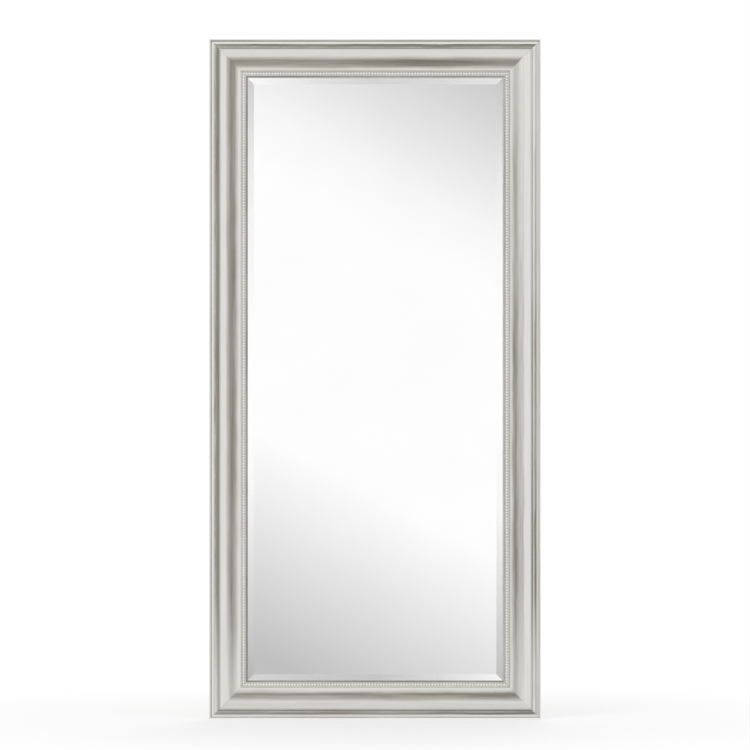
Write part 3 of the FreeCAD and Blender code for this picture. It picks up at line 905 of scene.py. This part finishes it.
def pearl_row(run, to_corners):
    """Half-balls joined by a thin neck, lying on the channel's floor."""
    pearls, floor = settings("pearls"), channel_floor()
    line = channel()[0] + pearls.radius + pearls.side_gap
    gaps = round((run - 2 * line) / pearls.pitch)
    places = [line + n * (run - 2 * line) / gaps for n in range(gaps + 1)]
    start = line - pearls.radius
    if not to_corners:
        places = places[1:-1]
        start = line + pearls.radius + pearls.end_gap
    bm = bmesh.new()
    for place in places:
        bmesh.ops.create_icosphere(bm, subdivisions=PEARL_SUBDIVISIONS, radius=pearls.radius,
                                   matrix=Matrix.Translation((place, line, floor)))
    neck = Matrix.Translation((run / 2, line, floor)) @ Matrix.Rotation(math.pi / 2, 4, "Y")
    bmesh.ops.create_cone(bm, cap_ends=True, segments=NECK_SEGMENTS, radius1=pearls.neck_radius,
                          radius2=pearls.neck_radius, depth=run - 2 * start, matrix=neck)
    bmesh.ops.holes_fill(bm, edges=sliced(bm, (0, 0, floor), (0, 0, -1)), sides=0)
    bmesh.ops.recalc_face_normals(bm, faces=bm.faces[:])
    return bm


class LEANER_OT_pearls(bpy.types.Operator):
    """Set a row of half-round pearls in each slip's channel"""
    bl_idname = "leaner.pearls"
    bl_label = "Pearls"

    def execute(self, context):
        leaf = settings("finish").pearl_leaf
        for i, (side, (run, matrix)) in enumerate(SIDES.items()):
            node = f"{side}_pearls"
            bm = pearl_row(run, side in RAILS)
            member_uv(bm, run, height=True)
            silver = silver_material(node, pearl_mask, PEARL_SHIFT + PEARL_STEP * i, leaf)
            finished_object(node, bm, matrix, silver)
        return {"FINISHED"}


# --- pane and back ---
class LEANER_OT_pane(bpy.types.Operator):
    """Finish the bevelled glass and the silver coat behind it"""
    bl_idname = "leaner.pane"
    bl_label = "Pane"

    def execute(self, context):
        bevel_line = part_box("mirror_glass")[0].z + settings("pane").bevel_width
        dress("mirror_glass", glass_material(bevel_line))
        dress("silvering", silvering_material())
        return {"FINISHED"}


class LEANER_OT_back(bpy.types.Operator):
    """Finish the board, the foam strips and the blocks under the glass"""
    bl_idname = "leaner.back"
    bl_label = "Back"

    def execute(self, context):
        finish = settings("finish")
        dress("backing_board", speckled_material("hardboard", finish.board, finish.board_fleck,
                                                 scale=800.0, roughness=0.62, upright=0.5))
        dress("foam_strips", speckled_material("closed_foam", finish.foam, finish.foam_fleck,
                                               scale=1600.0, roughness=0.85))
        dress("setting_blocks", rubber_material())
        return {"FINISHED"}


class LEANER_OT_fasteners(bpy.types.Operator):
    """Give the clips, the corner nails and every screw the plain zinc"""
    bl_idname = "leaner.fasteners"
    bl_label = "Fasteners"

    def execute(self, context):
        for node in ("retaining_clips", "clip_screws", "hanger_screws", "bumper_screws",
                     "corner_v_nails"):
            dress(node, zinc_material())
        return {"FINISHED"}


class LEANER_OT_hangers(bpy.types.Operator):
    """Give the folded straps and their swinging rings the plain zinc"""
    bl_idname = "leaner.hangers"
    bl_label = "Hangers"

    def execute(self, context):
        for side in ("left", "right"):
            dress(f"{side}_hanger_strap", zinc_material())
            dress(f"{side}_hang_ring", zinc_material())
        return {"FINISHED"}


class LEANER_OT_bumpers(bpy.types.Operator):
    """Finish the rubber bumpers that meet the wall"""
    bl_idname = "leaner.bumpers"
    bl_label = "Bumpers"

    def execute(self, context):
        dress("wall_bumpers", rubber_material())
        return {"FINISHED"}


# --- stage ---
RAY_KINDS = ("camera", "diffuse", "glossy", "transmission", "volume_scatter", "shadow")
# Metres from the middle of what the mirror shows, across its bright band, and the light there.
SHEEN = ((-2.4, 0.98), (-1.5, 0.80), (-1.05, 0.53), (-0.88, 0.53), (-0.44, 0.92), (-0.30, 1.03),
         (0.40, 1.03), (0.55, 0.96), (0.98, 0.57), (1.2, 0.60), (1.6, 0.85), (2.4, 1.0))
# Name, place and width in metres, and power in watts.
LAMPS = (("key", (-2.6, -3.6, 3.4), 2.4, 95), ("fill", (3.2, -3.2, 1.6), 2.6, 45),
         ("back", (0.6, 3.6, 2.6), 2.6, 80))
ROOM_LIGHT = 0.55
DOME_SEGMENTS, DOME_RINGS = 64, 32
FLOOR_REACH = 40.0
FLOOR_GREY = (0.86, 0.86, 0.86, 1.0)
FLOOR_FADE = 2.0  # metres; over 0.2 to 0.75 of it the camera sees the floor fade to white
SENSOR_WIDTH = 36.0
VIEW_DEPTH = 100.0


def dome(name, radius, light, seen_by):
    """A sphere round the mirror that one kind of ray can see, lit as a function of the place."""
    glowing, tree, shader = material(light.__name__)
    tree.nodes.remove(shader)
    glow = add(tree, "ShaderNodeEmission", {"Strength": light(tree, object_place(tree))})
    tree.links.new(glow.outputs[0], tree.nodes["Material Output"].inputs["Surface"])
    bm = bmesh.new()
    bmesh.ops.create_uvsphere(bm, u_segments=DOME_SEGMENTS, v_segments=DOME_RINGS, radius=radius)
    made = linked_object(name, bm, glowing)
    made.location = (0, 0, FRAME_HEIGHT / 2)
    for kind in RAY_KINDS:
        setattr(made, f"visible_{kind}", kind == seen_by)


def sheen(tree, place):
    """A wide white band across the mirror, sloping down to the right, that falls away to grey."""
    stage, axes = settings("stage"), axes_of(tree, place)
    across = plus(tree, times(tree, axes["X"], math.sin(stage.sheen_tilt)),
                  times(tree, axes["Z"], math.cos(stage.sheen_tilt)))
    radius = stage.mirror_dome_radius
    spread = maths(tree, "MULTIPLY_ADD", across, 0.5 / radius, 0.5)
    return ramp(tree, spread, [(0.5 + 0.5 * away / radius, light) for away, light in SHEEN])


def surround(tree, place):
    """Bright in front and behind and a little overhead, and greyer round the sides, so that the
    moulding's slopes read dark."""
    axes, radius = axes_of(tree, place), settings("stage").metal_dome_radius
    facing = over(tree, absolute(tree, axes["Y"]), radius)
    level = ramp(tree, facing, [(0.0, 0.74), (0.45, 0.84), (0.85, 1.0), (1.0, 1.06)])
    height = maths(tree, "MULTIPLY_ADD", over(tree, axes["Z"], radius), 0.5, 0.5)
    return plus(tree, level, ramp(tree, height, [(0.6, 0.0), (1.0, 0.15)]))


class LEANER_OT_stage(bpy.types.Operator):
    """Set the floor, the soft light, the surroundings seen in the mirror and the camera"""
    bl_idname = "leaner.stage"
    bl_label = "Stage"

    def execute(self, context):
        scene, stage = context.scene, settings("stage")
        self.floor()
        dome("mirror_surroundings", stage.mirror_dome_radius, sheen, "transmission")
        dome("metal_surroundings", stage.metal_dome_radius, surround, "glossy")
        self.world(scene)
        for lamp in LAMPS:
            self.lamp(scene, *lamp)
        self.camera(scene, stage)
        scene.view_settings.view_transform = "Standard"
        return {"FINISHED"}

    def floor(self):
        bm = bmesh.new()
        bmesh.ops.create_grid(bm, x_segments=1, y_segments=1, size=FLOOR_REACH)
        made, tree, shader = material("floor")
        fill(tree, shader, {"Base Color": FLOOR_GREY, "Roughness": 1.0})
        away = add(tree, "ShaderNodeVectorMath", {0: object_place(tree)}, operation="LENGTH")
        fade = ramp(tree, over(tree, away.outputs["Value"], FLOOR_FADE),
                    [(0.2, 0.62), (0.75, 1.0)], "EASE")
        seen = tree.nodes.new("ShaderNodeLightPath").outputs["Is Camera Ray"]
        glow = add(tree, "ShaderNodeEmission", {"Strength": 1.0})
        white = add(tree, "ShaderNodeMixShader", {0: times(tree, seen, fade),
                                                  1: shader.outputs[0], 2: glow.outputs[0]})
        tree.links.new(white.outputs[0], tree.nodes["Material Output"].inputs["Surface"])
        floor = linked_object("floor", bm, made)
        floor.visible_glossy = False
        floor.visible_transmission = False

    def world(self, scene):
        world = bpy.data.worlds.new("studio")
        scene.world = world
        world.use_nodes = True
        tree = world.node_tree
        rays = tree.nodes.new("ShaderNodeLightPath").outputs
        seen = larger(tree, larger(tree, rays["Is Camera Ray"], rays["Is Glossy Ray"]),
                      rays["Is Transmission Ray"])
        fill(tree, tree.nodes["Background"],
             {"Color": WHITE, "Strength": between(tree, seen, ROOM_LIGHT, 1.0)})

    def lamp(self, scene, name, place, size, power):
        data = bpy.data.lights.new(name, "AREA")
        data.shape = "DISK"
        data.size = size
        data.energy = power
        lamp = bpy.data.objects.new(name, data)
        lamp.location = place
        aim = Vector((0, 0, FRAME_HEIGHT / 2)) - Vector(place)
        lamp.rotation_euler = aim.to_track_quat("-Z", "Y").to_euler()
        lamp.visible_glossy = False
        lamp.visible_transmission = False
        scene.collection.objects.link(lamp)

    def camera(self, scene, stage):
        """Square on, and set so that the frame falls where it does in the photo."""
        scale = FRAME_WIDTH / (stage.photo_right - stage.photo_left)
        front_corner = BACK_Y - scene.leaner_moulding.edge_height
        distance = stage.camera_distance + front_corner
        data = bpy.data.cameras.new("camera")
        data.sensor_width = SENSOR_WIDTH
        data.lens = data.sensor_width * distance / (stage.photo_size * scale)
        data.clip_end = VIEW_DEPTH
        camera = bpy.data.objects.new("camera", data)
        centre_x = (stage.photo_left + stage.photo_right - stage.photo_size) / 2 * scale
        centre_z = (stage.photo_top + stage.photo_bottom - stage.photo_size) / 2 * scale
        camera.location = (-centre_x, -stage.camera_distance, FRAME_HEIGHT / 2 + centre_z)
        camera.rotation_euler = (math.pi / 2, 0, 0)
        scene.collection.objects.link(camera)
        scene.camera = camera


# --- sidebar ---
OPERATORS = (LEANER_OT_moulding, LEANER_OT_slips, LEANER_OT_pearls, LEANER_OT_pane,
             LEANER_OT_back, LEANER_OT_fasteners, LEANER_OT_hangers, LEANER_OT_bumpers,
             LEANER_OT_stage)
SETTINGS = {"leaner_moulding": LeanerMoulding, "leaner_slip": LeanerSlip,
            "leaner_pearls": LeanerPearls, "leaner_pane": LeanerPane,
            "leaner_finish": LeanerFinish, "leaner_glaze": LeanerGlaze,
            "leaner_stage": LeanerStage}


class LEANER_PT_panel(bpy.types.Panel):
    bl_idname = "LEANER_PT_panel"
    bl_label = "Leaning floor mirror"
    bl_space_type = "VIEW_3D"
    bl_region_type = "UI"
    bl_category = "Leaner"

    def draw(self, context):
        for operator in OPERATORS:
            self.layout.operator(operator.bl_idname)
        for name, group_class in SETTINGS.items():
            box = self.layout.box()
            for label in group_class.__annotations__:
                box.prop(getattr(context.scene, name), label)


def register():
    for cls in (*SETTINGS.values(), *OPERATORS, LEANER_PT_panel):
        bpy.utils.register_class(cls)
    for name, group_class in SETTINGS.items():
        setattr(bpy.types.Scene, name, bpy.props.PointerProperty(type=group_class))


def unregister():
    for name in SETTINGS:
        delattr(bpy.types.Scene, name)
    for cls in reversed((*SETTINGS.values(), *OPERATORS, LEANER_PT_panel)):
        bpy.utils.unregister_class(cls)


def main():
    register()
    bpy.ops.leaner.moulding()
    bpy.ops.leaner.slips()
    bpy.ops.leaner.pearls()
    bpy.ops.leaner.pane()
    bpy.ops.leaner.back()
    bpy.ops.leaner.fasteners()
    bpy.ops.leaner.hangers()
    bpy.ops.leaner.bumpers()
    bpy.ops.leaner.stage()


if __name__ == "__main__":
    main()
